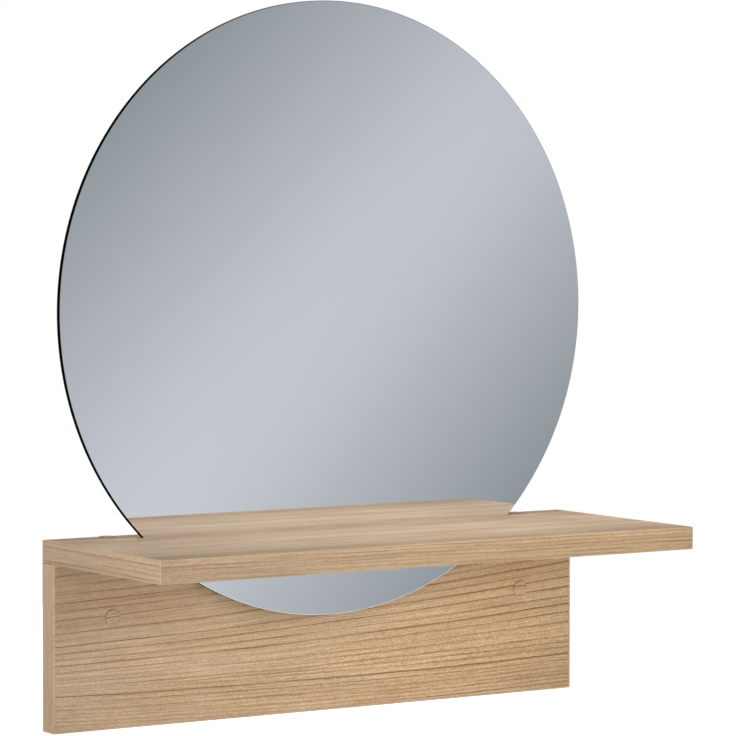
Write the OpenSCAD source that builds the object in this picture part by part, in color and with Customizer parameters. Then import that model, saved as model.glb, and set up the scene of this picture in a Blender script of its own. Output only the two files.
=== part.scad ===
// Wall mirror with shelf: a round frameless mirror that passes through a shelf,
// with a panel of the same width under the shelf.
// Millimetres, +Z up, the wall is the plane y = 0 and the front looks towards -Y.
// The origin is midway between the two wall screw holes, on the wall plane.

/* [Boards] */
// Width of the shelf and of the panel, edging included
width = 600; // [560:1:800]
// Depth of the shelf from the wall, edging included
shelf_depth = 225; // [160:1:300]
// Thickness of the shelf and panel boards
board_t = 22; // [18:1:25]
// Height of the panel under the shelf, edging included
panel_h = 160; // [120:1:220]
// Thickness of the edging strips
edging_t = 2; // [0.5:0.5:3]

/* [Mirror] */
// Diameter of the mirror
mirror_d = 600; // [560:1:640]
// Thickness of the mirror glass
glass_t = 5; // [3:0.5:6]
// Width of the ground arris on both rims of the glass
arris = 0.5; // [0.2:0.1:1]
// Thickness of the safety film on the back of the glass
film_t = 0.3; // [0.2:0.1:1]
// Height of the mirror's centre above the top of the shelf
mirror_rise = 214; // [200:1:230]

/* [Mirror carrier] */
// Thickness of the round carrier board behind the mirror
carrier_t = 6; // [6:1:12]
// How far the carrier's rim lies inside the mirror's rim
carrier_inset = 20; // [15:1:30]
// Thickness of the double-sided tape
tape_t = 2; // [0.5:0.1:3]
// Width of each strip of tape
tape_w = 20; // [10:1:40]
// Gap between the slot in the shelf and what passes through it
slot_gap = 0.3; // [0.2:0.1:1]
// Width of the spacer board behind the upper carrier
spacer_w = 300; // [240:1:340]
// Height of the spacer board
spacer_h = 80; // [76:1:110]
// Height of the spacer's centre above the mirror's centre
spacer_rise = 160; // [100:1:170]

/* [Fasteners] */
// Distance between the two wall screw holes, and between the two shelf screws
screw_spacing = 473; // [450:1:520]
// Height of the shelf's underside above the wall screw holes
screw_drop = 54; // [40:1:80]
// Diameter of the wall screw holes
wall_hole_d = 5; // [4:0.5:6]
// Diameter of the recess for a screw head
head_d = 10; // [8:0.5:11]
// Diameter of the cover caps
cap_d = 16; // [13:0.5:20]
// Height of the cover caps above the surface
cap_t = 1; // [0.5:0.1:2]
// Length of the screws that hold the shelf
shelf_screw_l = 46; // [38:1:60]
// Diameter of the dowels
dowel_d = 8; // [6:1:8]
// Length of the dowels
dowel_l = 30; // [25:1:40]
// Distance between the two keyholes of the hanger plates
hanger_spacing = 200; // [160:1:220]

/* [Hidden] */
$fn = 96;
eps = 0.01;

// heights
shelf_z0 = screw_drop;
shelf_z1 = screw_drop + board_t;
panel_z0 = screw_drop - panel_h;
mirror_z = shelf_z1 + mirror_rise;

// depths, all in front of the wall
panel_y = -board_t;
carrier_y = panel_y - carrier_t;
tape_y = carrier_y - tape_t;
film_y = tape_y - film_t;
glass_y = film_y - glass_t;

// radii and chords of the mirror and of its carrier
mirror_r = mirror_d / 2;
carrier_r = mirror_r - carrier_inset;
function chord(r, dz) = sqrt(r * r - dz * dz);
glass_slot_x = chord(mirror_r, mirror_rise) + 0.8;
carrier_slot_x = chord(carrier_r, mirror_rise) + 1.4;

// screws
screw_x = screw_spacing / 2;
screw_y = -board_t / 2;
cap_stem = 3;
head_sink = 4;
small_d = 4;
small_head_d = 7.6;
small_head_h = 2.4;
small_l = 25;

// row of screws from the carrier into the panel
overlap = shelf_z0 - (mirror_z - carrier_r);
row_z = shelf_z0 - 0.4 * overlap;
row_chord = chord(carrier_r, mirror_z - row_z);
row_x = [-0.7, -0.23, 0.23, 0.7] * row_chord;

// spacer and hanger plates
spacer_z = mirror_z + spacer_rise;
spacer_screw_x = spacer_w / 2 - 18;
spacer_screw_z = spacer_h / 2 - 18;
plate_w = 30;
plate_h = 62;
plate_t = 2;
keyhole_d = 9;
keyslot_d = 4.6;
keyslot_l = 12;
plate_hole_z = 24;

// dowels
dowel_x = [-150, -50, 50, 150];
dowel_up = 12;

// laminated decor, strips, bare board, metal
decor = [0.72, 0.60, 0.46];
decor_dark = [0.68, 0.55, 0.41];
strip = [0.78, 0.67, 0.54];
bare = [0.56, 0.43, 0.30];
zinc = [0.78, 0.79, 0.80];

// ---- small shapes -------------------------------------------------------

// box from two corners
module span(a, b) {
    translate(a) cube(b - a);
}

// a hole or pin along +Y from depth y0 to y1
module along_y(x, z, y0, y1, d) {
    translate([x, y0, z]) rotate([-90, 0, 0]) cylinder(d = d, h = y1 - y0);
}

// slot with round ends, lengthwise in X, through the shelf
module slot(half_x, y0, y1) {
    r = (y1 - y0) / 2;
    translate([-half_x + r, y0, shelf_z0 - 1]) cube([2 * half_x - 2 * r, 2 * r, board_t + 2]);
    for (s = [-1, 1])
        translate([s * (half_x - r), (y0 + y1) / 2, shelf_z0 - 1])
            cylinder(r = r, h = board_t + 2);
}

// recess for the head, above a clearance hole; top of the board at z = 0, going down
module headed_hole(d, depth) {
    translate([0, 0, -depth]) cylinder(d = d, h = depth + 1);
    translate([0, 0, -head_sink]) cylinder(d = head_d, h = head_sink + 1);
    translate([0, 0, -head_sink - 2.5]) cylinder(d1 = d, d2 = head_d, h = 2.5);
}

// shelf screw, head up at z = 0: countersunk head, plain neck, coarse thread
module shelf_screw(l) {
    core = 2.5;
    outer = 3.5;
    pitch = 3;
    neck = 16;
    n = floor((l - neck - 5) / pitch);
    difference() {
        rotate_extrude()
            polygon(concat(
                [[0, 0], [head_d / 2 - 0.1, 0], [head_d / 2 - 0.1, -0.4], [outer, -2.9], [outer, -neck]],
                [for (i = [0 : n - 1]) each [
                    [core, -neck - i * pitch - 0.6],
                    [core, -neck - i * pitch - 2.0],
                    [outer, -neck - i * pitch - 2.7],
                    [outer, -neck - i * pitch - 2.9]]],
                [[core, -neck - n * pitch - 0.6], [core, -l + 2.5], [0, -l]]));
        // hexagon socket
        translate([0, 0, -2.6]) cylinder(d = 4.6, h = 3, $fn = 6);
    }
}

// small countersunk screw, head up at z = 0, with a cross recess
module small_screw(l) {
    core = small_d / 2 - 0.6;
    outer = small_d / 2 - 0.02;
    pitch = 1.8;
    n = floor((l - small_head_h - 4) / pitch);
    difference() {
        rotate_extrude()
            polygon(concat(
                [[0, 0], [small_head_d / 2 - 0.1, 0], [small_head_d / 2 - 0.1, -0.3], [core + 0.1, -small_head_h]],
                [for (i = [0 : n - 1]) each [
                    [core, -small_head_h - i * pitch - 0.3],
                    [core, -small_head_h - i * pitch - 1.0],
                    [outer, -small_head_h - i * pitch - 1.5],
                    [outer, -small_head_h - i * pitch - 1.6]]],
                [[core, -small_head_h - n * pitch - 0.3], [core, -l + 3], [0, -l]]));
        for (a = [0, 90])
            rotate([0, 0, a]) translate([-2, -0.45, -1.5]) cube([4, 0.9, 2]);
    }
}

// countersunk clearance hole for the small screw, top of the board at z = 0
module small_hole(depth) {
    translate([0, 0, -depth - 1]) cylinder(d = small_d + 0.4, h = depth + 2);
    translate([0, 0, -small_head_h]) cylinder(d1 = small_d + 0.4, d2 = small_head_d, h = small_head_h);
    cylinder(d = small_head_d, h = 1);
}

// cover cap: low disc with a soft rim, and a ring that plugs into the head recess
module cap() {
    rotate_extrude()
        polygon([[0, 0], [0, cap_t], [cap_d / 2 - 0.5, cap_t], [cap_d / 2 - 0.15, cap_t - 0.15],
                 [cap_d / 2, cap_t - 0.45], [cap_d / 2, 0],
                 [head_d / 2 - 0.1, 0], [head_d / 2 - 0.1, -cap_stem + 0.4], [head_d / 2 - 0.4, -cap_stem],
                 [head_d / 2 - 1.2, -cap_stem], [head_d / 2 - 1.2, 0]]);
}

// fluted dowel along Z, from z = 0 upwards
module dowel(l) {
    r = dowel_d / 2;
    difference() {
        rotate_extrude()
            polygon([[0, 0], [r - 1, 0], [r, 1], [r, l - 1], [r - 1, l], [0, l]]);
        for (i = [0 : 11])
            rotate([0, 0, i * 30]) translate([r, 0, -1]) cylinder(r = 0.35, h = l + 2);
    }
}

// hanger plate in the XZ plane, its outer face at y = 0, its body towards -Y
module hanger_plate() {
    difference() {
        translate([-plate_w / 2, -plate_t, -plate_h / 2]) cube([plate_w, plate_t, plate_h]);
        // keyhole: the large hole below, the slot above
        along_y(0, -6, -plate_t - 1, 1, keyhole_d);
        translate([-keyslot_d / 2, -plate_t - 1, -6]) cube([keyslot_d, plate_t + 2, keyslot_l]);
        along_y(0, -6 + keyslot_l, -plate_t - 1, 1, keyslot_d);
        for (s = [-1, 1]) {
            along_y(0, s * plate_hole_z, -plate_t - 1, 1, 4.4);
            translate([0, -1.6, s * plate_hole_z]) rotate([-90, 0, 0])
                cylinder(d1 = 4.4, d2 = 7.6, h = 1.6 + eps);
        }
    }
}

// ---- shelf ---------------------------------------------------------------

module shelf_board() {
    color(decor) difference() {
        span([-width / 2 + edging_t, -shelf_depth + edging_t, shelf_z0],
             [width / 2 - edging_t, -edging_t, shelf_z1]);
        // slot for the glass, and a wider one behind it for the carrier
        slot(glass_slot_x, glass_y - slot_gap, tape_y + slot_gap);
        slot(carrier_slot_x, glass_y - slot_gap, panel_y + slot_gap);
        // screws into the panel
        for (s = [-1, 1])
            translate([s * screw_x, screw_y, shelf_z1]) headed_hole(7, board_t + 1);
        // dowels
        for (x = dowel_x)
            translate([x, screw_y, shelf_z0 - 1]) cylinder(d = dowel_d, h = dowel_up + 1);
    }
}

module shelf_front_edging() {
    color(strip) span([-width / 2, -shelf_depth, shelf_z0], [width / 2, -shelf_depth + edging_t, shelf_z1]);
}

module shelf_back_edging() {
    color(strip) span([-width / 2, -edging_t, shelf_z0], [width / 2, 0, shelf_z1]);
}

module shelf_end(s) {
    color(strip)
        translate([s > 0 ? width / 2 - edging_t : -width / 2, -shelf_depth + edging_t, shelf_z0])
            cube([edging_t, shelf_depth - 2 * edging_t, board_t]);
}
module shelf_left_edging() { shelf_end(-1); }
module shelf_right_edging() { shelf_end(1); }

// ---- panel ---------------------------------------------------------------

module back_panel() {
    color(decor_dark) difference() {
        span([-width / 2 + edging_t, -board_t, panel_z0 + edging_t],
             [width / 2 - edging_t, 0, shelf_z0]);
        // wall screws: a hole from the wall to the front, with a recess for the head
        for (s = [-1, 1]) {
            along_y(s * screw_x, 0, -board_t - 1, 1, wall_hole_d);
            along_y(s * screw_x, 0, -board_t - 1, -board_t + 8, head_d);
        }
        // shelf screws and dowels in the top edge
        for (s = [-1, 1])
            translate([s * screw_x, screw_y, shelf_z1 - head_sink - shelf_screw_l - 1])
                cylinder(d = 7, h = shelf_screw_l);
        for (x = dowel_x)
            translate([x, screw_y, shelf_z0 - (dowel_l - dowel_up) - 1])
                cylinder(d = dowel_d, h = dowel_l);
        // screws of the carrier
        for (x = row_x)
            along_y(x, row_z, -board_t - 1, carrier_y + small_l + 0.5, small_d);
    }
}

module panel_end(s) {
    color(strip)
        translate([s > 0 ? width / 2 - edging_t : -width / 2, -board_t, panel_z0 + edging_t])
            cube([edging_t, board_t, panel_h - edging_t]);
}
module panel_left_edging() { panel_end(-1); }
module panel_right_edging() { panel_end(1); }

module panel_bottom_edging() {
    color(strip) span([-width / 2, -board_t, panel_z0], [width / 2, 0, panel_z0 + edging_t]);
}

// ---- fasteners -----------------------------------------------------------

module shelf_screws() {
    color(zinc)
        for (s = [-1, 1])
            translate([s * screw_x, screw_y, shelf_z1 - head_sink]) shelf_screw(shelf_screw_l);
}

module shelf_screw_caps() {
    color(strip)
        for (s = [-1, 1])
            translate([s * screw_x, screw_y, shelf_z1]) cap();
}

module wall_screw_caps() {
    color(strip)
        for (s = [-1, 1])
            translate([s * screw_x, -board_t, 0]) rotate([90, 0, 0]) cap();
}

module shelf_dowels() {
    color([0.80, 0.66, 0.46])
        for (x = dowel_x)
            translate([x, screw_y, shelf_z0 - (dowel_l - dowel_up)]) dowel(dowel_l);
}

// ---- mirror and what carries it -------------------------------------------

// round sheet in the XZ plane, from depth y towards +Y, with both rims ground off
module round_sheet(r, y, t, a) {
    translate([0, y, mirror_z]) rotate([-90, 0, 0])
        rotate_extrude($fn = 360)
            polygon([[0, 0], [r - a, 0], [r, a], [r, t - a], [r - a, t], [0, t]]);
}

module mirror_glass() {
    color([0.66, 0.69, 0.74]) round_sheet(mirror_r, glass_y, glass_t, arris);
}

module mirror_film() {
    color([0.20, 0.22, 0.24])
        translate([0, film_y, mirror_z]) rotate([-90, 0, 0])
            cylinder(r = mirror_r - arris, h = film_t, $fn = 360);
}

module mirror_tape() {
    color([0.92, 0.92, 0.90])
        for (s = [-1, 1]) {
            span([s * 70 - tape_w / 2, tape_y, mirror_z - 190], [s * 70 + tape_w / 2, carrier_y, mirror_z + 220]);
            span([s * 170 - tape_w / 2, tape_y, mirror_z - 150], [s * 170 + tape_w / 2, carrier_y, mirror_z + 150]);
        }
}

module carrier_board() {
    color(bare) difference() {
        along_y(0, mirror_z, carrier_y, panel_y, 2 * carrier_r);
        for (x = row_x)
            translate([x, carrier_y, row_z]) rotate([90, 0, 0]) small_hole(carrier_t);
        for (sx = [-1, 1], sz = [-1, 1])
            translate([sx * spacer_screw_x, carrier_y, spacer_z + sz * spacer_screw_z])
                rotate([90, 0, 0]) small_hole(carrier_t);
    }
}

module carrier_screws() {
    color(zinc)
        for (x = row_x)
            translate([x, carrier_y, row_z]) rotate([90, 0, 0]) small_screw(small_l);
}

module wall_spacer() {
    color(decor_dark) difference() {
        span([-spacer_w / 2, -board_t, spacer_z - spacer_h / 2], [spacer_w / 2, 0, spacer_z + spacer_h / 2]);
        for (sx = [-1, 1], sz = [-1, 1])
            along_y(sx * spacer_screw_x, spacer_z + sz * spacer_screw_z, -board_t - 1, carrier_y + small_l + 0.5, small_d);
        for (s = [-1, 1]) translate([s * hanger_spacing / 2, 0, spacer_z]) {
            // seat of the plate
            translate([-plate_w / 2, -plate_t, -plate_h / 2]) cube([plate_w, plate_t + 1, plate_h]);
            // room for the head of the wall hook behind the keyhole
            translate([-6, -12, -12]) cube([12, 13, 24]);
            for (t = [-1, 1])
                along_y(0, t * plate_hole_z, -14.5, 1, 3.5);
        }
    }
}

module spacer_screws() {
    color(zinc)
        for (sx = [-1, 1], sz = [-1, 1])
            translate([sx * spacer_screw_x, carrier_y, spacer_z + sz * spacer_screw_z])
                rotate([90, 0, 0]) small_screw(small_l);
}

module hanger_plates() {
    color(zinc)
        for (s = [-1, 1])
            translate([s * hanger_spacing / 2, 0, spacer_z]) hanger_plate();
}

// short countersunk screw of a hanger plate, head up at z = 0
module plate_screw() {
    difference() {
        rotate_extrude()
            polygon(concat(
                [[0, 0], [3.6, 0], [1.5, -2.0]],
                [for (i = [0 : 5]) each [
                    [1.2, -2.2 - i * 1.5], [1.2, -2.8 - i * 1.5], [1.73, -3.3 - i * 1.5], [1.73, -3.4 - i * 1.5]]],
                [[1.2, -11.4], [1.2, -12], [0, -14]]));
        for (a = [0, 90])
            rotate([0, 0, a]) translate([-1.7, -0.4, -1.3]) cube([3.4, 0.8, 2]);
    }
}

module hanger_screws() {
    color(zinc)
        for (s = [-1, 1], t = [-1, 1])
            translate([s * hanger_spacing / 2, -0.2, spacer_z + t * plate_hole_z])
                rotate([-90, 0, 0]) plate_screw();
}

shelf_board();
shelf_front_edging();
shelf_back_edging();
shelf_left_edging();
shelf_right_edging();
back_panel();
panel_left_edging();
panel_right_edging();
panel_bottom_edging();
shelf_screws();
shelf_screw_caps();
shelf_dowels();
wall_screw_caps();
mirror_glass();
mirror_film();
mirror_tape();
carrier_board();
carrier_screws();
wall_spacer();
spacer_screws();
hanger_plates();
hanger_screws();
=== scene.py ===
import math

import bmesh
import bpy
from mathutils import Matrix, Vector


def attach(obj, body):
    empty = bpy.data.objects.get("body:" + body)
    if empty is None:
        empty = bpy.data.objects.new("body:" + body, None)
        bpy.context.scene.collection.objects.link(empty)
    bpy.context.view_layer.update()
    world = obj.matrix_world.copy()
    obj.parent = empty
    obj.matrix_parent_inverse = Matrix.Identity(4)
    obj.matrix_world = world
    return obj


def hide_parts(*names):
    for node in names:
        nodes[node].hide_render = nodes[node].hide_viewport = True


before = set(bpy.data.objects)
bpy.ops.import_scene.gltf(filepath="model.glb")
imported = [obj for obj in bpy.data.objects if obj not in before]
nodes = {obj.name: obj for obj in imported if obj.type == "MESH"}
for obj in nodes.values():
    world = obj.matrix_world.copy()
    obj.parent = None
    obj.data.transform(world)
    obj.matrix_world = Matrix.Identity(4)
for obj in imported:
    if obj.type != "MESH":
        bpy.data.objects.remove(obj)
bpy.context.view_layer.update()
BODY = "root"
MM = 0.001
# half the width, the shelf's depth and the heights of its two faces, in mm
W, D, Z0, Z1 = 300.0, 225.0, 54.0, 76.0


# ---- short calls for node trees ---------------------------------------------

class Net:
    """Builds nodes in one tree. A value is a number, a tuple or another node's socket."""

    def __init__(self, tree):
        self.tree = tree

    def new(self, kind, **props):
        n = self.tree.nodes.new(kind)
        for key, value in props.items():
            setattr(n, key, value)
        return n

    def put(self, socket, value):
        if isinstance(value, bpy.types.NodeSocket):
            self.tree.links.new(value, socket)
        elif isinstance(value, tuple) and socket.type == "RGBA" and len(value) == 3:
            socket.default_value = (*value, 1.0)
        else:
            socket.default_value = value

    def op(self, operation, a, b=0.0, c=0.0, clamp=False):
        n = self.new("ShaderNodeMath", operation=operation, use_clamp=clamp)
        for socket, value in zip(n.inputs, (a, b, c)):
            self.put(socket, value)
        return n.outputs[0]

    def add(self, a, b):
        return self.op("ADD", a, b)

    def sub(self, a, b):
        return self.op("SUBTRACT", a, b)

    def mul(self, a, b):
        return self.op("MULTIPLY", a, b)

    def xyz(self, x=0.0, y=0.0, z=0.0):
        n = self.new("ShaderNodeCombineXYZ")
        for socket, value in zip(n.inputs, (x, y, z)):
            self.put(socket, value)
        return n.outputs[0]

    def noise(self, vector, scale=1.0, detail=2.0, rough=0.5, lacunarity=2.0, distortion=0.0):
        n = self.new("ShaderNodeTexNoise", noise_dimensions="3D")
        self.put(n.inputs["Vector"], vector)
        self.put(n.inputs["Scale"], scale)
        self.put(n.inputs["Detail"], detail)
        self.put(n.inputs["Roughness"], rough)
        self.put(n.inputs["Lacunarity"], lacunarity)
        self.put(n.inputs["Distortion"], distortion)
        return n.outputs["Fac"]

    def random(self, w):
        n = self.new("ShaderNodeTexWhiteNoise", noise_dimensions="1D")
        self.put(n.inputs["W"], w)
        return n.outputs["Value"]

    def span(self, value, a, b, c=0.0, d=1.0, kind="LINEAR", clamp=True):
        n = self.new("ShaderNodeMapRange", interpolation_type=kind)
        if kind == "LINEAR":
            n.clamp = clamp
        self.put(n.inputs["Value"], value)
        for name, x in (("From Min", a), ("From Max", b), ("To Min", c), ("To Max", d)):
            self.put(n.inputs[name], x)
        return n.outputs["Result"]

    def soft(self, value, a, b, c=0.0, d=1.0):
        return self.span(value, a, b, c, d, "SMOOTHSTEP")

    def mix(self, factor, a, b, blend="MIX"):
        n = self.new("ShaderNodeMix", data_type="RGBA", blend_type=blend)
        n.clamp_factor = True
        self.put(n.inputs[0], factor)
        self.put(n.inputs[6], a)
        self.put(n.inputs[7], b)
        return n.outputs[2]

    def blend(self, factor, a, b):
        n = self.new("ShaderNodeMix", data_type="FLOAT")
        self.put(n.inputs[0], factor)
        self.put(n.inputs[2], a)
        self.put(n.inputs[3], b)
        return n.outputs[0]

    def curve(self, value, points, kind="VECTOR"):
        n = self.new("ShaderNodeFloatCurve")
        self.put(n.inputs["Value"], value)
        c = n.mapping.curves[0]
        c.points[0].location = points[0]
        c.points[1].location = points[-1]
        for p in points[1:-1]:
            c.points.new(*p)
        for p in c.points:
            p.handle_type = kind
        n.mapping.update()
        return n.outputs["Value"]

    def mm(self):
        """Object coordinates in millimetres, as three sockets."""
        t = self.new("ShaderNodeTexCoord")
        s = self.new("ShaderNodeSeparateXYZ")
        scale = self.new("ShaderNodeVectorMath", operation="SCALE")
        self.put(scale.inputs[0], t.outputs["Object"])
        scale.inputs["Scale"].default_value = 1000.0
        self.put(s.inputs[0], scale.outputs[0])
        return s.outputs[0], s.outputs[1], s.outputs[2]

    def normal(self):
        """The size of the flat face normal's three parts."""
        g = self.new("ShaderNodeNewGeometry")
        s = self.new("ShaderNodeSeparateXYZ")
        self.put(s.inputs[0], g.outputs["True Normal"])
        return [self.op("ABSOLUTE", o) for o in s.outputs]

    def upward(self):
        """How much the surface faces up."""
        g = self.new("ShaderNodeNewGeometry")
        s = self.new("ShaderNodeSeparateXYZ")
        self.put(s.inputs[0], g.outputs["Normal"])
        return s.outputs[2]


def shader(name):
    m = bpy.data.materials.new(name)
    m.use_nodes = True
    tree = m.node_tree
    tree.nodes.clear()
    net = Net(tree)
    out = net.new("ShaderNodeOutputMaterial")
    p = net.new("ShaderNodeBsdfPrincipled")
    tree.links.new(p.outputs[0], out.inputs[0])
    return m, net, p


def bump(net, height, strength, distance):
    b = net.new("ShaderNodeBump")
    b.inputs["Strength"].default_value = strength
    b.inputs["Distance"].default_value = distance
    net.put(b.inputs["Height"], height)
    return b.outputs["Normal"]


def lin(r, g, b):
    """A colour given as it shows on screen, 0 to 255, as linear light."""
    def f(c):
        c /= 255.0
        return c / 12.92 if c <= 0.04045 else ((c + 0.055) / 1.055) ** 2.4
    return (f(r), f(g), f(b))


# ---- light oak decor ----------------------------------------------------------

OAK_LIGHT = (0.665, 0.470, 0.290)
OAK_MID = (0.610, 0.420, 0.250)
OAK_DARK = (0.235, 0.112, 0.020)


def rings_on(net, r, marks, low, high):
    """How many growth rings lie below r, from a list of ring places in mm."""
    top = float(len(marks) - 1)
    points = [((m - low) / (high - low), i / top) for i, m in enumerate(marks)]
    x = net.span(r, low, high, 0.0, 1.0)
    return net.mul(net.curve(x, points), top)


def centred(net, value, amount):
    return net.mul(net.sub(value, 0.5), amount)


def oak(net, u, v, seed, rings, line=1.0, fibre=1.0, wander=1.0, crisp=0.9, below=3.0, above=1.5, least=0.4, hair=0.32,
        strong=None, painted_light_and_tone=None, grit=1.0):
    """Oak decor. u runs along the grain and v across it, in mm; rings turns the wandering v into a ring count.
    crisp is the half width of a ring's dark line in mm; below and above are how far its shade reaches on its two sides.
    least is how dark the faintest line is next to the darkest. strong turns the wandering v into how dark the lines
    are there, instead of by chance, and the shade ramp after it sets how light the wood is, partly print and partly
    painted shade. grit is how rough the fine print is.
    Returns the colour, the height and a 0 to 1 value for how rough it is."""
    big = net.noise(net.xyz(net.mul(u, 1 / 190), net.mul(v, 1 / 30), seed), detail=1.0)
    small = net.noise(net.xyz(net.mul(u, 1 / 45), net.mul(v, 1 / 9), seed + 3.1), detail=1.0)
    tiny = net.noise(net.xyz(net.mul(u, 1 / 9), net.mul(v, 1 / 4), seed + 7.7), detail=1.0)
    r = net.add(v, centred(net, big, 2.4 * wander))
    r = net.add(r, centred(net, small, 0.9 * wander))
    r = net.add(r, centred(net, tiny, 0.5 * wander))
    count = rings(r)
    pitch = net.op("DIVIDE", 0.5, net.op("MAXIMUM", net.sub(rings(net.add(r, 0.5)), count), 0.01))
    part = net.op("FRACT", count)
    ring = net.op("FLOOR", net.add(count, 0.5))
    # a crisp dark line at each ring, in a soft shade that the late wood leads up to
    over = net.mul(part, pitch)
    under = net.mul(net.sub(1.0, part), pitch)
    core = net.soft(net.op("MINIMUM", over, under), 0.1, crisp, 1.0, 0.0)
    up = net.soft(over, 0.0, above, 1.0, 0.0)
    down = net.soft(under, 0.0, below, 1.0, 0.0)
    late = net.add(net.mul(core, 0.78), net.mul(net.op("MAXIMUM", up, down), 0.22))
    chance = net.random(net.add(ring, seed * 3.7 + 0.5))
    along = net.noise(net.xyz(net.mul(u, 1 / 110), net.mul(ring, 0.37), seed + 11.3), detail=2.0)
    weight = strong(r) if strong else net.span(chance, 0.0, 1.0, least, 1.0)
    weight = net.mul(weight, net.soft(along, 0.25, 0.60, least, 1.0))
    broken = net.noise(net.xyz(net.mul(u, 1 / 4), net.mul(r, 1 / 1.2), seed + 14.0), detail=2.0)
    lines = net.mul(net.mul(late, weight), net.mul(net.span(broken, 0.28, 0.60, 0.48, 1.06), line))
    # thin fainter lines between the rings
    thin = net.noise(net.xyz(net.mul(u, 1 / 130), net.mul(r, 1 / 1.25), seed + 33.0), detail=1.0)
    hairs = net.mul(net.soft(thin, 0.50, 0.66), net.mul(net.span(broken, 0.25, 0.62, 0.6, 1.0), hair))
    # fibres: long and short streaks, and dark dashes where the pores are
    f0 = net.noise(net.xyz(net.mul(u, 1 / 85), net.mul(r, 1 / 2.1), seed + 17.9), detail=2.0, rough=0.6)
    f1 = net.noise(net.xyz(net.mul(u, 1 / 13), net.mul(r, 1 / 1.4), seed + 1.9), detail=2.0, rough=0.6)
    f2 = net.noise(net.xyz(net.mul(u, 1 / 1.8), net.mul(r, 1 / 0.8), seed + 5.3), detail=2.0, rough=0.65)
    pores = net.noise(net.xyz(net.mul(u, 1 / 4), net.mul(r, 1 / 0.8), seed + 9.1), detail=1.0)
    pore = net.mul(net.soft(pores, 0.56, 0.72), net.span(part, 0.35, 1.0, 0.45, 1.0))
    broad = net.noise(net.xyz(net.mul(u, 1 / 240), net.mul(v, 1 / 24), seed + 21.0), detail=2.0)
    patch = net.noise(net.xyz(net.mul(u, 1 / 70), net.mul(v, 1 / 16), seed + 27.0), detail=1.0)
    base = net.mix(net.soft(broad, 0.30, 0.70), OAK_MID, OAK_LIGHT)
    fine = net.mul(net.add(centred(net, f1, 0.40 * fibre), centred(net, f2, 0.90 * fibre)), grit)
    streak = net.add(centred(net, f0, 0.48 * fibre), fine)
    hue = centred(net, patch, 0.10)
    grey = net.xyz(net.add(net.add(1.0, net.mul(streak, 0.87)), hue), net.add(1.0, net.mul(streak, 1.2)),
                   net.sub(net.add(1.0, net.mul(streak, 1.7)), hue))
    base = net.mix(1.0, base, grey, "MULTIPLY")
    # partly print and partly painted shade: makes the wood lighter or darker across the grain
    if painted_light_and_tone:
        t = net.sub(painted_light_and_tone(r), 1.0)
        base = net.mix(1.0, base, net.xyz(net.add(1.0, t), net.add(1.0, net.mul(t, 1.15)), net.add(1.0, net.mul(t, 1.35))),
                       "MULTIPLY")
    dark = net.add(net.add(lines, hairs), net.mul(net.mul(pore, grit), 0.10 * fibre))
    colour = net.mix(net.op("MINIMUM", dark, 0.9), base, OAK_DARK)
    height = net.sub(net.mul(f2, 0.5), net.add(net.mul(lines, 0.5), net.mul(pore, 0.8)))
    rough = net.add(net.mul(f1, 0.5), net.mul(pore, 0.6))
    return colour, height, rough


def even_rings(net, spacing, shift=0.0):
    return lambda r: net.add(net.mul(r, 1.0 / spacing), 500.0 + shift)


def uneven_rings(net, spacing, shift=0.0):
    """Rings that lie closer in one place and wider in another."""
    def rings(r):
        slow = net.mul(net.op("SINE", net.mul(r, 0.21 / spacing)), 3.0)
        quick = net.mul(net.op("SINE", net.add(net.mul(r, 1.13 / spacing), 1.0)), 0.22)
        return net.add(net.add(net.mul(r, 1.0 / spacing), 500.0 + shift), net.mul(net.add(slow, quick), 0.55))
    return rings


def finish_oak(net, p, colour, height, rough, base_rough=0.48, depth=0.00006, strength=0.55):
    net.put(p.inputs["Base Color"], colour)
    net.put(p.inputs["Roughness"], net.span(rough, 0.0, 1.0, base_rough - 0.05, base_rough + 0.13))
    p.inputs["IOR"].default_value = 1.46
    p.inputs["Specular IOR Level"].default_value = 0.42
    net.put(p.inputs["Normal"], bump(net, height, strength, depth))


def chip_board(net, x, y, z):
    """Raw chipboard where a hole or slot is cut: flakes of several browns."""
    v = net.new("ShaderNodeTexVoronoi", feature="F1")
    net.put(v.inputs["Vector"], net.xyz(net.mul(x, 0.45), net.mul(y, 0.45), net.mul(z, 0.9)))
    v.inputs["Scale"].default_value = 1.0
    s = net.new("ShaderNodeSeparateColor")
    net.put(s.inputs[0], v.outputs["Color"])
    flake = net.mix(s.outputs[0], (0.30, 0.19, 0.10), (0.56, 0.41, 0.25))
    dust = net.noise(net.xyz(x, y, z), scale=2.5, detail=2.0)
    return net.mix(net.soft(dust, 0.45, 0.75, 0.0, 0.4), flake, (0.24, 0.15, 0.08))


def tint(net, colour, x, left, right, low=-300.0, high=300.0):
    """The sheet's hue drifts along the width."""
    t = net.span(x, low, high, 0.0, 1.0)
    return net.mix(1.0, colour, net.mix(t, left, right), "MULTIPLY")


# back panel, front and back: rings that lean more the higher they are, each as (height in mm, how dark it is)
PANEL_RINGS = [(-112, 0.6), (-107, 0.35), (-103, 0.6), (-99.5, 0.45), (-95.5, 0.6), (-92, 0.4), (-87.7, 0.7), (-84, 0.4),
               (-80.6, 0.65), (-74.7, 1.6), (-69, 0.5), (-65, 0.55), (-61, 0.65), (-55, 0.45), (-50, 0.6), (-42, 0.5),
               (-35, 1.15), (-28, 0.8), (-20, 1.1), (-12, 1.1), (-5, 0.5), (2, 1.15), (9, 0.5), (15, 0.9), (24, 0.75),
               (32, 1.05), (40, 1.0), (49, 0.8), (59, 1.0), (67, 0.7), (75, 1.0), (82, 0.8)]


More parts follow.
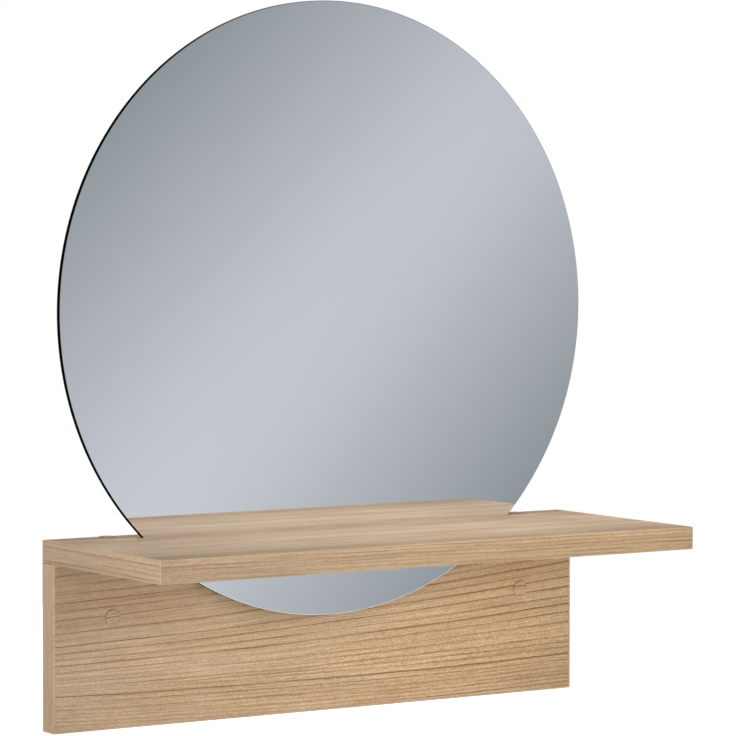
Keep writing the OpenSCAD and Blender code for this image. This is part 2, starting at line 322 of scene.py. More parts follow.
def panel_lean(net, x, z):
    """Follows the lean and the bend of the grain back to the middle of the panel."""
    curved = net.mul(net.mul(x, x), 0.00005)
    r = z
    for _ in range(4):
        m = bands(net, r, -112.0, 82.0, ((-112, 0.0), (-89, 0.0), (-74, 0.002), (-59, 0.020), (-44, 0.034), (-30, 0.042),
                                         (-12, 0.055), (16, 0.064), (46, 0.068), (82, 0.070)))
        r = net.sub(z, net.add(net.mul(m, x), curved))
    return r


def bands(net, value, low, high, points):
    """A smooth curve over a stretch in mm: points are (place, value)."""
    x = net.span(value, low, high, 0.0, 1.0)
    return net.curve(x, [((a - low) / (high - low), b) for a, b in points], "AUTO")


def level(net, colour, value, low, high, points):
    """Makes the colour lighter or darker along a stretch."""
    t = bands(net, value, low, high, points)
    return net.mix(1.0, colour, net.xyz(t, t, t), "MULTIPLY")


def panel_print(net, x, z):
    """The panel's decor at a place on its front or back, with painted shade under the shelf and at both ends."""
    r = panel_lean(net, x, z)
    side = net.mul(net.span(x, -280.0, 280.0, 0.85, 1.15), net.span(x, 100.0, 300.0, 1.0, 1.15))
    places = [m for m, _ in PANEL_RINGS]
    colour, height, rough = oak(
        net, x, r, 2.0, lambda v: rings_on(net, v, places, -112.0, 82.0), line=1.05, crisp=0.85,
        strong=lambda v: net.mul(side, bands(net, v, -112.0, 82.0, PANEL_RINGS)),
        # partly print and partly painted shade: the rows under the shelf are painted darker, as shade from the shelf
        painted_light_and_tone=lambda v: bands(net, v, -112.0, 82.0, ((-112, 0.94), (-98, 0.95), (-79, 0.965), (-60, 1.01), (-39, 1.00),
                                                    (-20, 1.00), (0, 0.94), (30, 0.865), (58, 0.87), (82, 0.88))),
        grit=net.mul(net.soft(x, -150.0, 120.0, 1.0, 1.35), bands(net, r, -112.0, 82.0, (
            (-112, 1.1), (-80, 1.15), (-62, 1.2), (-45, 1.15), (-30, 0.95), (0, 0.9), (82, 0.9)))))
    # painted shade: the panel is painted darker towards both ends and lighter in the middle
    colour = level(net, colour, x, -300.0, 300.0, ((-300, 0.82), (-270, 0.84), (-200, 0.90), (-110, 0.96), (0, 1.02),
                                                   (75, 1.05), (175, 1.03), (230, 0.95), (270, 0.87), (300, 0.82)))
    # darker towards the lower right
    t = net.sub(1.0, net.mul(net.soft(x, 185.0, 250.0), net.soft(z, -100.0, -70.0, 0.05, 0.0)))
    colour = net.mix(1.0, colour, net.xyz(t, t, t), "MULTIPLY")
    # painted shade: darker and warmer under the shelf on the right
    colour = net.mix(net.mul(net.soft(x, 110.0, 180.0), net.soft(z, -5.0, 18.0)), colour,
                     net.mix(1.0, colour, (0.955, 0.930, 0.915), "MULTIPLY"))
    return tint(net, colour, x, (0.985, 1.02, 1.08), (1.0, 0.965, 0.88)), height, rough


def decor_panel():
    m, net, p = shader("decor_panel")
    x, y, z = net.mm()
    colour, height, rough = panel_print(net, x, z)
    nx, ny, nz = net.normal()
    cut = net.op("LESS_THAN", ny, 0.5)
    colour = net.mix(cut, colour, chip_board(net, x, y, z))
    finish_oak(net, p, colour, height, rough)
    return m


def shelf_print(net, x, v):
    """The shelf's decor: calm, with a few broad darker bands along it, partly print and partly painted shade. v is the
    depth, below 0 at the front.
    """
    colour, height, rough = oak(
        net, x, v, 31.0, uneven_rings(net, 8.5), line=1.1, wander=1.8, fibre=0.9, crisp=1.8, below=6.0, above=3.0,
        least=0.25, hair=0.45,
        # partly print and partly painted shade: lighter or darker across the depth, darker at the front and near the
        # mirror
        painted_light_and_tone=lambda r: bands(net, r, -226.0, 2.0, ((-226, 0.80), (-210, 0.80), (-194, 0.84), (-172, 0.95), (-158, 1.04),
                                                   (-139, 0.97), (-120, 1.04), (-80, 1.02), (-42, 0.95), (-20, 0.98),
                                                   (2, 0.96))))
    # painted shade: the top is painted darker towards the left end and lighter towards the right
    colour = level(net, colour, x, -300.0, 300.0, ((-300, 0.86), (-270, 0.90), (-202, 0.98), (-100, 1.025), (0, 1.05),
                                                   (75, 1.07), (175, 1.075), (240, 1.085), (300, 1.03)))
    colour = tint(net, colour, x, (1.0, 1.0, 1.0), (1.02, 1.0, 0.995))
    # painted shade: darker at the two back corners behind the mirror, more on the right, and on the left end of the top
    back = net.soft(v, -110.0, -35.0)
    ends = net.add(net.soft(x, 215.0, 265.0, 0.0, 0.19), net.soft(x, -275.0, -225.0, 0.08, 0.0))
    fore = net.mul(net.soft(v, -145.0, -105.0, 0.0, 0.10), net.mul(net.soft(v, -75.0, -40.0, 1.0, 0.4), net.soft(x, -265.0, -215.0, 1.0, 0.0)))
    t = net.sub(1.0, net.add(net.mul(back, ends), fore))
    colour = net.mix(1.0, colour, net.xyz(t, t, t), "MULTIPLY")
    return net.mix(1.0, colour, (1.065, 1.13, 1.285), "MULTIPLY"), height, rough


def decor_shelf():
    m, net, p = shader("decor_shelf")
    x, y, z = net.mm()
    colour, height, rough = shelf_print(net, x, y)
    nx, ny, nz = net.normal()
    cut = net.op("LESS_THAN", nz, 0.5)
    colour = net.mix(cut, colour, chip_board(net, x, y, z))
    finish_oak(net, p, colour, height, rough)
    return m


def decor_spacer():
    m, net, p = shader("decor_spacer")
    x, y, z = net.mm()
    colour, height, rough = oak(net, x, z, 51.0, uneven_rings(net, 7.0), line=0.8)
    nx, ny, nz = net.normal()
    cut = net.op("LESS_THAN", ny, 0.5)
    colour = net.mix(cut, colour, chip_board(net, x, y, z))
    finish_oak(net, p, colour, height, rough)
    return m


CORE = (0.690, 0.505, 0.330)


def decor_strip(name, along, across, seed, spacing=4.2, line=0.5, joints=(), pale=(1, 1, 1), slope=0.0, joint=0.2, ends="",
                painted_light_and_tone=None, painted_light_along=None, hues=None, core=(1.0, 1.0)):
    """Edging: the same oak print on a plastic strip, whose plain plastic shows where it is rounded off, more where it
    faces up, partly as a painted highlight.
    joints are planes where it meets the board, as (axis, mm); ends is the axis that its plain cut ends face.
    The two shade ramps paint light and shade on it across it and along it, hues is how its colour changes along it, and
    core paints the plain plastic lighter or darker from one end to the other, as painted light and shade."""
    m, net, p = shader(name)
    c = dict(zip("xyz", net.mm()))
    v = net.add(c[across], net.mul(c[along], slope))
    colour, height, rough = oak(net, c[along], v, seed, even_rings(net, spacing), line=line, fibre=0.85,
                               wander=1.1, crisp=0.8, below=2.4, above=1.1, least=0.25, hair=0.5 * line)
    colour = net.mix(1.0, colour, pale, "MULTIPLY")
    # painted light and shade: the two ramps make the strip lighter or darker across and along it
    if painted_light_and_tone:
        colour = level(net, colour, c[across], *painted_light_and_tone)
    if painted_light_along:
        colour = level(net, colour, c[along], *painted_light_along)
    if hues:
        colour = tint(net, colour, c[along], *hues)
    parts = dict(zip("xyz", net.normal()))
    flat = net.op("MAXIMUM", parts["x"], net.op("MAXIMUM", parts["y"], parts["z"]))
    grey = net.noise(net.xyz(c["x"], c["y"], c["z"]), scale=0.5, detail=2.0)
    plain = net.mix(grey, CORE, tuple(k * 0.93 for k in CORE))
    # painted light and shade: the plain plastic is made lighter at one end and darker at the other
    k = net.span(c[along], -W, W, *core)
    plain = net.mix(1.0, plain, net.xyz(k, k, k), "MULTIPLY")
    # partly real plain plastic and partly painted highlight: the rounding shows its plain plastic more where it faces
    # up
    top = net.soft(net.upward(), 0.05, 0.30, 0.10, 0.45)
    colour = net.mix(net.mul(net.soft(flat, 0.985, 0.999, 1.0, 0.0), top), colour, plain)
    if ends:
        colour = net.mix(net.mul(net.soft(parts[ends], 0.5, 0.8), 0.85), colour, plain)
    for axis, place in joints:
        d = net.op("ABSOLUTE", net.sub(c[axis], place))
        colour = net.mix(net.soft(d, 0.1, 0.40, joint, 0.0), colour, (0.20, 0.12, 0.06))
    finish_oak(net, p, colour, height, rough, base_rough=0.42)
    return m


# painted highlight and shade: the strips on the shelf are painted lighter along their top and darker at their foot
TOP_PAINTED_LIGHT = (Z0, Z1, ((Z0, 0.90), (56, 0.94), (60, 0.97), (66, 0.985), (70, 0.96), (71.2, 0.98), (72.6, 1.07), (74.3, 1.12),
                      (Z1, 1.04)))


# ---- other materials ------------------------------------------------------------

def mirror_face():
    m, net, p = shader("mirror_silver")
    x, y, z = net.mm()
    n = net.noise(net.xyz(net.mul(x, 1 / 90), net.mul(y, 1 / 90), net.mul(z, 1 / 90)), detail=3.0)
    net.put(p.inputs["Base Color"], net.mix(n, (0.955, 0.965, 0.970), (0.970, 0.975, 0.978)))
    p.inputs["Metallic"].default_value = 1.0
    wipe = net.noise(net.xyz(net.mul(x, 1 / 9), net.mul(y, 1 / 9), net.mul(z, 1 / 2.5)), detail=3.0)
    net.put(p.inputs["Roughness"], net.span(wipe, 0.35, 0.85, 0.004, 0.020))
    return m


def mirror_arris():
    """The polished arris, with painted reflection: painted bright at its foot on the right, grey at the top and dark on
    the left.
    """
    m, net, p = shader("polished_arris")
    x, y, z = net.mm()
    n = net.noise(net.xyz(x, y, z), scale=0.2, detail=3.0)
    silver = net.mix(n, (0.90, 0.92, 0.92), (0.95, 0.96, 0.96))
    # painted reflection: masks for the bright lower right and the dark left
    towards = net.sub(net.mul(x, 0.574 / 300), net.mul(net.sub(z, 290.0), 0.819 / 300))
    left = net.add(net.mul(x, -0.985 / 300), net.mul(net.sub(z, 290.0), -0.174 / 300))
    plain = net.mix(net.soft(left, 0.10, 0.50), (0.30, 0.31, 0.31), (0.02, 0.025, 0.025))
    net.put(p.inputs["Base Color"], net.mix(net.soft(towards, 0.15, 0.50), plain, silver))
    p.inputs["Metallic"].default_value = 1.0
    net.put(p.inputs["Roughness"], net.span(n, 0.3, 0.7, 0.06, 0.12))
    return m


def mirror_rim():
    m, net, p = shader("ground_rim")
    x, y, z = net.mm()
    n = net.noise(net.xyz(x, net.mul(y, 6.0), z), scale=0.9, detail=3.0)
    # painted reflection: the rim is painted near black on the left and grey elsewhere
    black = net.mix(n, (0.0015, 0.0020, 0.0020), (0.005, 0.006, 0.006))
    left = net.add(net.mul(x, -0.985 / 300), net.mul(net.sub(z, 290.0), -0.174 / 300))
    net.put(p.inputs["Base Color"], net.mix(net.soft(left, 0.10, 0.50), (0.12, 0.125, 0.125), black))
    net.put(p.inputs["Roughness"], net.span(n, 0.3, 0.7, 0.45, 0.6))
    p.inputs["Specular IOR Level"].default_value = 0.0
    net.put(p.inputs["Normal"], bump(net, n, 0.25, 0.00003))
    return m


def film():
    m, net, p = shader("safety_film")
    x, y, z = net.mm()
    n = net.noise(net.xyz(x, y, z), scale=0.35, detail=4.0)
    weave = net.noise(net.xyz(x, y, z), scale=3.0, detail=1.0)
    colour = net.mix(n, (0.018, 0.020, 0.022), (0.040, 0.043, 0.047))
    nx, ny, nz = net.normal()
    side = net.op("LESS_THAN", ny, 0.5)
    net.put(p.inputs["Base Color"], net.mix(side, colour, (0.004, 0.005, 0.005)))
    net.put(p.inputs["Roughness"], net.span(weave, 0.3, 0.7, 0.45, 0.62))
    p.inputs["Specular IOR Level"].default_value = 0.15
    net.put(p.inputs["Normal"], bump(net, net.add(net.mul(n, 0.7), net.mul(weave, 0.3)), 0.35, 0.0001))
    return m


def foam():
    m, net, p = shader("foam_tape")
    x, y, z = net.mm()
    v = net.new("ShaderNodeTexVoronoi", feature="F1")
    net.put(v.inputs["Vector"], net.xyz(x, y, z))
    v.inputs["Scale"].default_value = 2.2
    net.put(p.inputs["Base Color"], net.mix(v.outputs["Distance"], (0.66, 0.66, 0.63), (0.84, 0.84, 0.81)))
    net.put(p.inputs["Roughness"], net.span(v.outputs["Distance"], 0.0, 0.6, 0.85, 0.65))
    net.put(p.inputs["Normal"], bump(net, v.outputs["Distance"], 0.5, 0.0001))
    return m


def fibreboard():
    m, net, p = shader("raw_fibreboard")
    x, y, z = net.mm()
    felt = net.noise(net.xyz(net.mul(x, 0.9), net.mul(y, 2.2), net.mul(z, 0.9)), detail=5.0, rough=0.65)
    cloud = net.noise(net.xyz(x, y, z), scale=0.018, detail=3.0)
    flecks = net.noise(net.xyz(net.mul(x, 1.6), net.mul(y, 1.6), net.mul(z, 0.5)), detail=2.0)
    base = net.mix(felt, (0.235, 0.140, 0.072), (0.400, 0.265, 0.155))
    base = net.mix(net.soft(cloud, 0.3, 0.7, 0.0, 0.35), base, (0.27, 0.175, 0.10))
    base = net.mix(net.soft(flecks, 0.62, 0.76, 0.0, 0.45), base, (0.14, 0.08, 0.045))
    # the sawn rim is rougher and darker than the pressed faces
    nx, ny, nz = net.normal()
    rim = net.op("LESS_THAN", ny, 0.5)
    layer = net.noise(net.xyz(net.mul(x, 0.2), net.mul(y, 3.0), net.mul(z, 0.2)), detail=2.0)
    base = net.mix(net.mul(rim, net.span(layer, 0.2, 0.8, 0.25, 0.6)), base, (0.16, 0.095, 0.05))
    net.put(p.inputs["Base Color"], base)
    net.put(p.inputs["Roughness"], net.span(felt, 0.2, 0.8, 0.62, 0.82))
    p.inputs["Specular IOR Level"].default_value = 0.3
    net.put(p.inputs["Normal"], bump(net, felt, 0.5, 0.00012))
    return m


def zinc(name, cx=None, cz=None):
    m, net, p = shader(name)
    x, y, z = net.mm()
    spangle = net.new("ShaderNodeTexVoronoi", feature="F1")
    net.put(spangle.inputs["Vector"], net.xyz(net.mul(x, 0.5), net.mul(y, 0.5), net.mul(z, 0.5)))
    s = net.new("ShaderNodeSeparateColor")
    net.put(s.inputs[0], spangle.outputs["Color"])
    dirt = net.noise(net.xyz(x, y, z), scale=0.35, detail=4.0)
    fine = net.noise(net.xyz(x, y, z), scale=6.0, detail=2.0)
    base = net.mix(s.outputs[0], (0.50, 0.52, 0.54), (0.66, 0.68, 0.70))
    base = net.mix(net.soft(dirt, 0.5, 0.8, 0.0, 0.35), base, (0.40, 0.41, 0.40))
    net.put(p.inputs["Base Color"], base)
    p.inputs["Metallic"].default_value = 1.0
    net.put(p.inputs["Roughness"], net.span(net.add(net.mul(dirt, 0.6), net.mul(fine, 0.4)), 0.3, 0.7, 0.26, 0.46))
    net.put(p.inputs["Normal"], bump(net, fine, 0.15, 0.00003))
    return m


def beech():
    m, net, p = shader("beech")
    x, y, z = net.mm()
    grain = net.noise(net.xyz(net.mul(x, 1.6), net.mul(y, 1.6), net.mul(z, 0.12)), detail=3.0)
    flecks = net.noise(net.xyz(net.mul(x, 3.0), net.mul(y, 3.0), net.mul(z, 0.9)), detail=1.0)
    base = net.mix(grain, (0.50, 0.33, 0.18), (0.70, 0.52, 0.33))
    base = net.mix(net.soft(flecks, 0.6, 0.72, 0.0, 0.5), base, (0.40, 0.23, 0.12))
    net.put(p.inputs["Base Color"], base)
    net.put(p.inputs["Roughness"], net.span(grain, 0.2, 0.8, 0.55, 0.7))
    net.put(p.inputs["Normal"], bump(net, grain, 0.3, 0.0001))
    return m


def decor_caps(name, axes, centre_v, printed, rim_shade=0.5):
    """A cap carries the board's decor, turned a little and out of line with it, with more or less painted shade at its
    rim where it meets the board.
    """
    m, net, p = shader(name)
    c = dict(zip("xyz", net.mm()))
    u, v, n = (c[a] for a in axes)
    du = net.sub(net.op("ABSOLUTE", u), 236.5)
    turned = net.add(net.add(v, 1.8), net.mul(du, 0.04))
    colour, height, rough = printed(net, net.add(u, 5.0), turned)
    # painted shade: a darker ring on the turned-down rim where the cap meets the board
    dv = net.sub(v, centre_v)
    radius = net.op("SQRT", net.add(net.mul(du, du), net.mul(dv, dv)))
    colour = net.mix(net.soft(radius, 7.45, 7.9, 0.0, rim_shade), colour, (0.20, 0.12, 0.06))
    finish_oak(net, p, colour, height, rough, base_rough=0.42)
    return m


# ---- pieces ---------------------------------------------------------------------

def piece(name, bm, mats, node, smooth=30.0):
    """Turns a bmesh in millimetres into a piece that stands for a CAD node."""
    for v in bm.verts:
        v.co *= MM
    bm.normal_update()
    limit = math.radians(smooth)
    for f in bm.faces:
        f.smooth = True
    for e in bm.edges:
        e.smooth = len(e.link_faces) == 2 and e.calc_face_angle(0.0) < limit
    mesh = bpy.data.meshes.new(name)
    bm.to_mesh(mesh)
    bm.free()
    o = bpy.data.objects.new(name, mesh)
    bpy.context.scene.collection.objects.link(o)
    for m in mats:
        mesh.materials.append(m)
    w = o.modifiers.new("weighted", "WEIGHTED_NORMAL")
    w.keep_sharp = True
    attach(o, BODY)
    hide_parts(node)
    return o


def rounded_board(lo, hi, r, steps=5):
    bm = bmesh.new()
    bmesh.ops.create_cube(bm, size=1.0)
    lo, hi = Vector(lo), Vector(hi)
    for v in bm.verts:
        v.co = Vector((lo[i] if v.co[i] < 0 else hi[i]) for i in range(3))
    bmesh.ops.bevel(bm, geom=bm.edges[:], offset=r, offset_type="OFFSET", segments=steps, profile=0.5,
                    affect="EDGES", clamp_overlap=True)
    return bm


def keep(bm, axis, place, side, chamfer=0.18):
    """Keeps the part of bm on one side of a plane across an axis, closes it, and breaks the new edges."""
    no = Vector((0, 0, 0))
    no[axis] = side
    co = Vector((0, 0, 0))
    co[axis] = place
    bmesh.ops.bisect_plane(bm, geom=bm.verts[:] + bm.edges[:] + bm.faces[:], dist=1e-6, plane_co=co,
                           plane_no=-no, clear_outer=True)
    rim = [e for e in bm.edges if e.is_boundary]
    made = bmesh.ops.contextual_create(bm, geom=rim)
    face = made["faces"][0]
    if chamfer:
        bmesh.ops.bevel(bm, geom=face.edges[:], offset=chamfer, offset_type="OFFSET", segments=1, profile=0.5,
                        affect="EDGES", clamp_overlap=True)
    bmesh.ops.recalc_face_normals(bm, faces=bm.faces[:])
    return bm


def ring_mesh(bm, profile, centre, axis, steps, mats=None, start=0.0):
    """Lathes a closed profile of (radius, along the axis) round an axis through centre, in mm. mats gives each band's material."""
    c = Vector(centre)
    rows = []
    for r, h in profile:
        if r < 1e-6:
            rows.append([bm.verts.new(c + axis_point(axis, 0.0, 0.0, h))])
        else:
            rows.append([bm.verts.new(c + axis_point(axis, r * math.cos(start + 2 * math.pi * k / steps),
                                                     r * math.sin(start + 2 * math.pi * k / steps), h))
                         for k in range(steps)])
    for i in range(len(rows) - 1):
        a, b = rows[i], rows[i + 1]
        made = []
        if len(a) == 1 and len(b) > 1:
            made.append(bm.faces.new(b))
        elif len(b) == 1 and len(a) > 1:
            made.append(bm.faces.new(a))
        else:
            for k in range(steps):
                k2 = (k + 1) % steps
                made.append(bm.faces.new((a[k], a[k2], b[k2], b[k])))
        for f in made:
            f.material_index = mats[i] if mats else 0
    for row in (rows[0], rows[-1]):
        if len(row) == 1:
            bm.verts.remove(row[0])
    bmesh.ops.recalc_face_normals(bm, faces=bm.faces[:])


def axis_point(axis, a, b, h):
    return Vector((a, h, b)) if axis == "y" else Vector((a, b, h))


# edging: each strip is cut from one board with rounded edges, so the strips meet cleanly
ROUND = 1.0


def shelf_form():
    return rounded_board((-W, -D, Z0), (W, 0, Z1), ROUND)


def panel_form():
    return rounded_board((-W, -22, -106), (W, 0, Z0 + 12), 0.8)


def make_edging():
    bm = keep(shelf_form(), 1, -D + 2, -1)
    # painted light and shade: the front strip is painted darker towards both ends, and its plain plastic lighter at the
    # left end than the right
    piece("shelf_front_strip", bm, [decor_strip("edging_front", "x", "z", 61.0, spacing=3.4, line=0.6, pale=(0.88, 0.87, 0.86),
                                          slope=0.006, joints=(("y", -D + 2),), ends="x", painted_light_and_tone=TOP_PAINTED_LIGHT,
                                          painted_light_along=(-W, W, ((-300, 0.92), (-270, 0.93), (-202, 0.89), (-125, 0.90),
                                                         (-25, 0.98), (75, 0.98), (175, 1.0), (222, 0.99),
                                                         (272, 0.91), (300, 0.88))),
                                          hues=((0.98, 1.0, 1.05), (1.02, 0.995, 0.945)), core=(1.10, 0.80))],
          "shelf_front_edging")
    bm = keep(shelf_form(), 1, -2, 1)
    piece("shelf_back_strip", bm, [decor_strip("edging_back", "x", "z", 63.0, joints=(("y", -2),), ends="x")],
          "shelf_back_edging")
    # painted light: the shelf's left end strip is painted lighter at the front and darker at the back
    fore = (-D, 0.0, ((-225, 1.18), (-205, 1.15), (-160, 1.07), (-110, 1.0), (-65, 0.94), (0, 0.94)))
    for side, name, seed in ((-1, "left", 65.0), (1, "right", 67.0)):
        bm = keep(shelf_form(), 0, side * (W - 2), side)
        bm = keep(bm, 1, -D + 2, 1)
        bm = keep(bm, 1, -2, -1)
        piece("shelf_%s_strip" % name, bm,
              [decor_strip("edging_shelf_" + name, "y", "z", seed, spacing=4.4, line=0.55, pale=(0.975, 0.970, 1.01), painted_light_and_tone=TOP_PAINTED_LIGHT,
                           painted_light_along=fore if side < 0 else None,
                           joints=(("x", side * (W - 2)),))],
              "shelf_%s_edging" % name)
        bm = keep(panel_form(), 0, side * (W - 2), side)
        bm = keep(bm, 2, Z0, -1)
        bm = keep(bm, 2, -104, 1)
        # painted light: the panel's side strips are painted lighter towards the top and darker towards the bottom
        piece("panel_%s_strip" % name, bm,
              [decor_strip("edging_panel_" + name, "z", "y", seed + 4, spacing=6.0, line=0.35, joint=0.1, pale=(0.920, 0.905, 0.930),
                           painted_light_along=(-106.0, Z0, ((-106, 0.95), (-60, 0.96), (-20, 1.0), (Z0, 1.07))),
                           joints=(("x", side * (W - 2)),))],
              "panel_%s_edging" % name)
    bm = keep(panel_form(), 2, -104, -1)
    piece("panel_bottom_strip", bm, [decor_strip("edging_bottom", "x", "y", 75.0, joints=(("z", -104),), ends="x", pale=(0.83, 0.83, 0.83))],
          "panel_bottom_edging")


def make_mirror():
    r = 299.97
    y0, y1 = -35.3, -30.3
    profile = [(0, y0), (r - 0.50, y0), (r - 0.33, y0 + 0.08), (r - 0.04, y0 + 0.26), (r, y0 + 0.36), (r, y1 - 0.15),
               (r - 0.12, y1), (0, y1)]
    bm = bmesh.new()
    ring_mesh(bm, profile, (0, 0, 290), "y", 720, mats=[0, 1, 1, 2, 2, 2, 3])
    piece("mirror_disc", bm, [mirror_face(), mirror_arris(), mirror_rim(), film()], "mirror_glass", 8.0)
    # the film is trimmed to the rim
    profile = [(0, y1), (r - 0.2, y1), (r - 0.15, y1 + 0.05), (r - 0.15, y1 + 0.25), (r - 0.2, y1 + 0.3), (0, y1 + 0.3)]
    bm = bmesh.new()
    ring_mesh(bm, profile, (0, 0, 290), "y", 720)
    piece("mirror_backing", bm, [film()], "mirror_film", 20.0)


def cap_profile():
    return [(0, 1.0), (7.0, 1.0), (7.45, 0.93), (7.78, 0.74), (7.96, 0.45), (7.9, 0.12), (7.72, 0.0), (4.9, 0.0),
            (4.9, -2.6), (4.6, -3.0), (3.8, -3.0), (3.8, 0.25), (0, 0.25)]


def make_caps():
    bm = bmesh.new()
    for s in (-1, 1):
        prof = [(r, -22.0 - h) for r, h in cap_profile()]
        ring_mesh(bm, prof, (s * 236.5, 0, 0), "y", 96)
    piece("wall_screw_covers", bm, [decor_caps("cap_front", "xzy", 0.0, panel_print)], "wall_screw_caps")
    bm = bmesh.new()
    for s in (-1, 1):
        prof = [(r, 76.0 + h) for r, h in cap_profile()]
        ring_mesh(bm, prof, (s * 236.5, -11, 0), "z", 96)
    piece("shelf_screw_covers", bm, [decor_caps("cap_top", "xyz", -11.0, shelf_print, rim_shade=0.10)], "shelf_screw_caps")


def dress(name, material):
    """A CAD node keeps its shape and gets its finish."""
    mesh = nodes[name].data
    mesh.materials.clear()
    mesh.materials.append(material)


# ---- camera, light and floor ------------------------------------------------------

def make_camera():
    data = bpy.data.cameras.new("camera")
    cam = bpy.data.objects.new("camera", data)
    bpy.context.scene.collection.objects.link(cam)
    bpy.context.scene.camera = cam
    data.sensor_fit = "HORIZONTAL"
    data.sensor_width = 36.0
    data.lens = 3665.922 / 736.0 * 36.0
    data.shift_x, data.shift_y = 0.054348, -0.095109
    data.clip_start, data.clip_end = 0.05, 60.0
    yaw, pitch = math.radians(32.3966), math.radians(-1.8343)
    look = Vector((math.sin(yaw) * math.cos(pitch), math.cos(yaw) * math.cos(pitch), math.sin(pitch)))
    cam.location = (-1.919870, -3.056193, 0.414650)
    cam.rotation_mode = "QUATERNION"
    cam.rotation_quaternion = look.to_track_quat("-Z", "Y")


def make_world():
    """White round the object, soft daylight on it, and for what the mirror shows a grey blue studio with a light ridge."""
    world = bpy.data.worlds.new("studio")
    bpy.context.scene.world = world
    world.use_nodes = True
    world.node_tree.nodes.clear()
    net = Net(world.node_tree)
    t = net.new("ShaderNodeTexCoord")
    s = net.new("ShaderNodeSeparateXYZ")
    net.put(s.inputs[0], t.outputs["Generated"])
    x, y, z = s.outputs
    side = net.sub(x, 0.54)
    # two slopes that meet in the ridge
    rise = net.add(net.add(net.mul(side, 3.163), net.mul(z, -2.753)), 0.522)
    fall = net.add(net.add(net.mul(side, -4.175), net.mul(z, 2.690)), 0.686)
    ridge = net.op("MAXIMUM", net.op("SMOOTH_MIN", rise, fall, 0.23), 0.18)
    # broad bands in all other directions
    sweep = net.mul(net.sub(z, net.mul(x, 1 / 0.84)), 57.3)
    wave = net.span(net.op("COSINE", net.mul(net.add(sweep, 38.0), 2 * math.pi / 26.0)), -1.0, 1.0, 0.24, 0.54)
    up = net.add(z, 0.02)
    off = net.op("SQRT", net.add(net.mul(side, side), net.mul(up, up)))
    level = net.blend(net.soft(off, 0.10, 0.32), ridge, wave)
    level = net.blend(net.soft(z, -0.42, -0.20, 1.0, 0.0), level, 0.85)
    level = net.blend(net.soft(z, 0.18, 0.38), level, 0.24)
    band = net.xyz(net.sub(net.mul(level, 1.031), 0.027), net.add(net.mul(level, 1.001), 0.012),
                   net.add(net.mul(level, 1.070), 0.015))
    path = net.new("ShaderNodeLightPath")
    soft = net.new("ShaderNodeBackground")
    net.put(soft.inputs["Color"], (0.84, 0.86, 0.88))
    net.put(soft.inputs["Strength"], net.soft(y, -0.25, 0.25, 0.74, 0.38))
    mirror = net.new("ShaderNodeBackground")
    net.put(mirror.inputs["Color"], band)
    mirror.inputs["Strength"].default_value = 1.0
    white = net.new("ShaderNodeBackground")
    white.inputs["Color"].default_value = (1, 1, 1, 1)
    first = net.op("LESS_THAN", path.outputs["Diffuse Depth"], 0.5)
    shine = net.mul(path.outputs["Is Glossy Ray"], first)
    a = net.new("ShaderNodeMixShader")
    net.put(a.inputs[0], shine)
    net.put(a.inputs[1], soft.outputs[0])
    net.put(a.inputs[2], mirror.outputs[0])
    b = net.new("ShaderNodeMixShader")
    net.put(b.inputs[0], path.outputs["Is Camera Ray"])
    net.put(b.inputs[1], a.outputs[0])
    net.put(b.inputs[2], white.outputs[0])
    out = net.new("ShaderNodeOutputWorld")
    net.put(out.inputs[0], b.outputs[0])


def area(name, place, aim, size, watts, colour=(1, 1, 1)):
    data = bpy.data.lights.new(name, "AREA")
    data.shape = "DISK"
    data.size = size
    data.energy = watts
    data.color = colour
    o = bpy.data.objects.new(name, data)
    bpy.context.scene.collection.objects.link(o)
    o.location = place
    o.rotation_mode = "QUATERNION"
    o.rotation_quaternion = (Vector(aim) - Vector(place)).to_track_quat("-Z", "Y")
    o.visible_glossy = False
    o.visible_camera = False
    return o


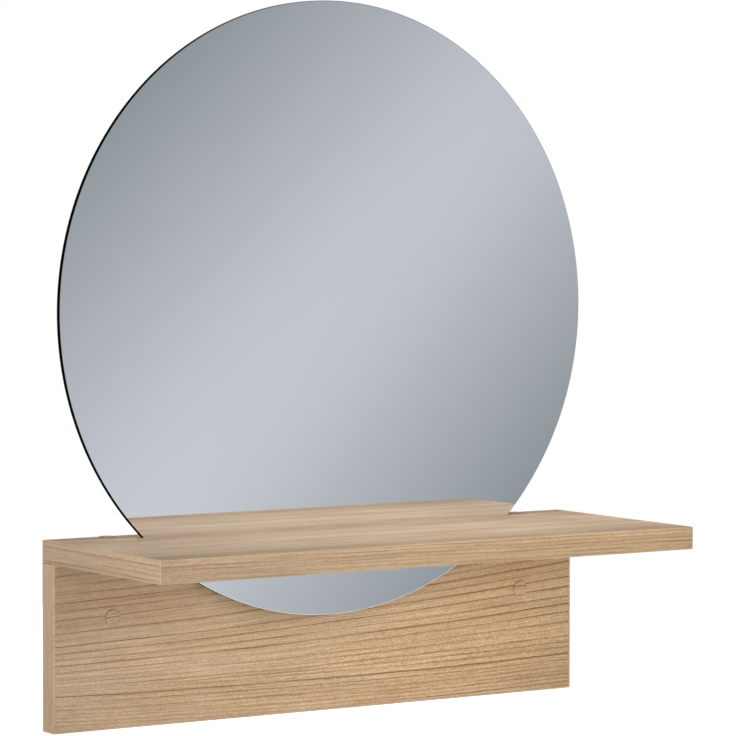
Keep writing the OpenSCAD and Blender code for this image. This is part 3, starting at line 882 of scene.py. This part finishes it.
def make_floor():
    bm = bmesh.new()
    bmesh.ops.create_grid(bm, x_segments=8, y_segments=8, size=7.0)
    for v in bm.verts:
        v.co.z = -0.9
    mesh = bpy.data.meshes.new("floor")
    bm.to_mesh(mesh)
    bm.free()
    o = bpy.data.objects.new("floor", mesh)
    bpy.context.scene.collection.objects.link(o)
    m, net, p = shader("pale_floor")
    t = net.new("ShaderNodeTexCoord")
    n = net.noise(t.outputs["Object"], scale=3.0, detail=3.0)
    net.put(p.inputs["Base Color"], net.mix(n, (0.86, 0.86, 0.86), (0.88, 0.88, 0.88)))
    p.inputs["Roughness"].default_value = 0.9
    p.inputs["Emission Color"].default_value = (1, 1, 1, 1)
    path = net.new("ShaderNodeLightPath")
    net.put(p.inputs["Emission Strength"], net.blend(path.outputs["Is Camera Ray"], 0.45, 1.0))
    # seen from above only, so that a low camera still sees the object
    g = net.new("ShaderNodeNewGeometry")
    clear = net.new("ShaderNodeBsdfTransparent")
    mixer = net.new("ShaderNodeMixShader")
    net.put(mixer.inputs[0], g.outputs["Backfacing"])
    net.put(mixer.inputs[1], p.outputs[0])
    net.put(mixer.inputs[2], clear.outputs[0])
    out = [x for x in m.node_tree.nodes if x.type == "OUTPUT_MATERIAL"][0]
    net.put(out.inputs[0], mixer.outputs[0])
    mesh.materials.append(m)
    o.visible_glossy = False


make_camera()
make_world()
make_floor()
area("key_light", (1.2, -3.4, 1.2), (0, -0.1, 0.1), 2.6, 27.0)
area("low_light", (-0.1, -2.6, -0.7), (0, 0, 0), 1.0, 3.5)
area("shelf_light", (0.10, -0.27, 0.66), (0.07, -0.12, 0.1), 0.35, 1.8)
area("side_light", (-1.15, -1.25, 0.4), (-0.3, -0.15, 0.05), 0.8, 1.2)
area("left_light", (-1.25, -0.25, 1.05), (-0.25, -0.05, 0.08), 0.8, 2.4)
area("back_light", (0.4, 3.4, 0.05), (0, 0, 0.1), 1.5, 30.0)
area("corner_light", (0.0, 1.6, 1.5), (0, 0, 0.08), 1.0, 18.0)

make_mirror()
make_edging()
make_caps()
dress("back_panel", decor_panel())
dress("shelf_board", decor_shelf())
dress("wall_spacer", decor_spacer())
dress("carrier_board", fibreboard())
dress("mirror_tape", foam())
dress("shelf_dowels", beech())
steel = zinc("zinc_steel")
for name in ("shelf_screws", "carrier_screws", "spacer_screws", "hanger_plates", "hanger_screws"):
    dress(name, steel)

bpy.context.scene.view_settings.view_transform = "Standard"
bpy.context.scene.view_settings.look = "None"
